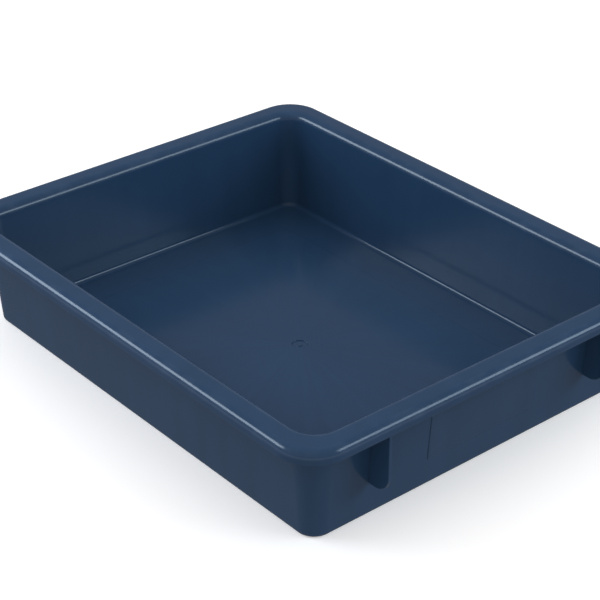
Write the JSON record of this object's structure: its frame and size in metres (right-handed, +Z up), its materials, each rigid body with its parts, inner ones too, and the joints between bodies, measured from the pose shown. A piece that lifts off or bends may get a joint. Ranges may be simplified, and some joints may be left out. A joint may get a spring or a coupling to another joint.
{
  "type": "shallow rectangular plastic tray",
  "caption": "Shallow rectangular moulded plastic tray with leaning walls, rounded corners, a broad flanged rim and stiffening fins under the rim at each end.",
  "frame": {"origin": "middle of the base, at the level the tray stands on", "axes": "+X along the length towards the end with the label pad, +Y across the width, +Z up"},
  "size_m": [0.355, 0.288, 0.0715],
  "materials": {
    "moulding": "injection-moulded polypropylene from a polished tool, navy",
    "label_pad": "the same navy polypropylene, very fine tool texture"
  },
  "bodies": {
    "root": {"floor": "moulding", "gate_nub": "moulding", "side_wall_front": "moulding", "side_wall_back": "moulding", "end_wall_right": "moulding", "end_wall_left": "moulding", "wall_corner_front_right": "moulding", "wall_corner_back_right": "moulding", "wall_corner_back_left": "moulding", "wall_corner_front_left": "moulding", "rim_rail_front": "moulding", "rim_rail_back": "moulding", "rim_rail_right": "moulding", "rim_rail_left": "moulding", "rim_corner_front_right": "moulding", "rim_corner_back_right": "moulding", "rim_corner_back_left": "moulding", "rim_corner_front_left": "moulding", "fin_right_front": "moulding", "fin_right_back": "moulding", "fin_left_front": "moulding", "fin_left_back": "moulding", "label_pad": "label_pad"}
  },
  "joints": []
}
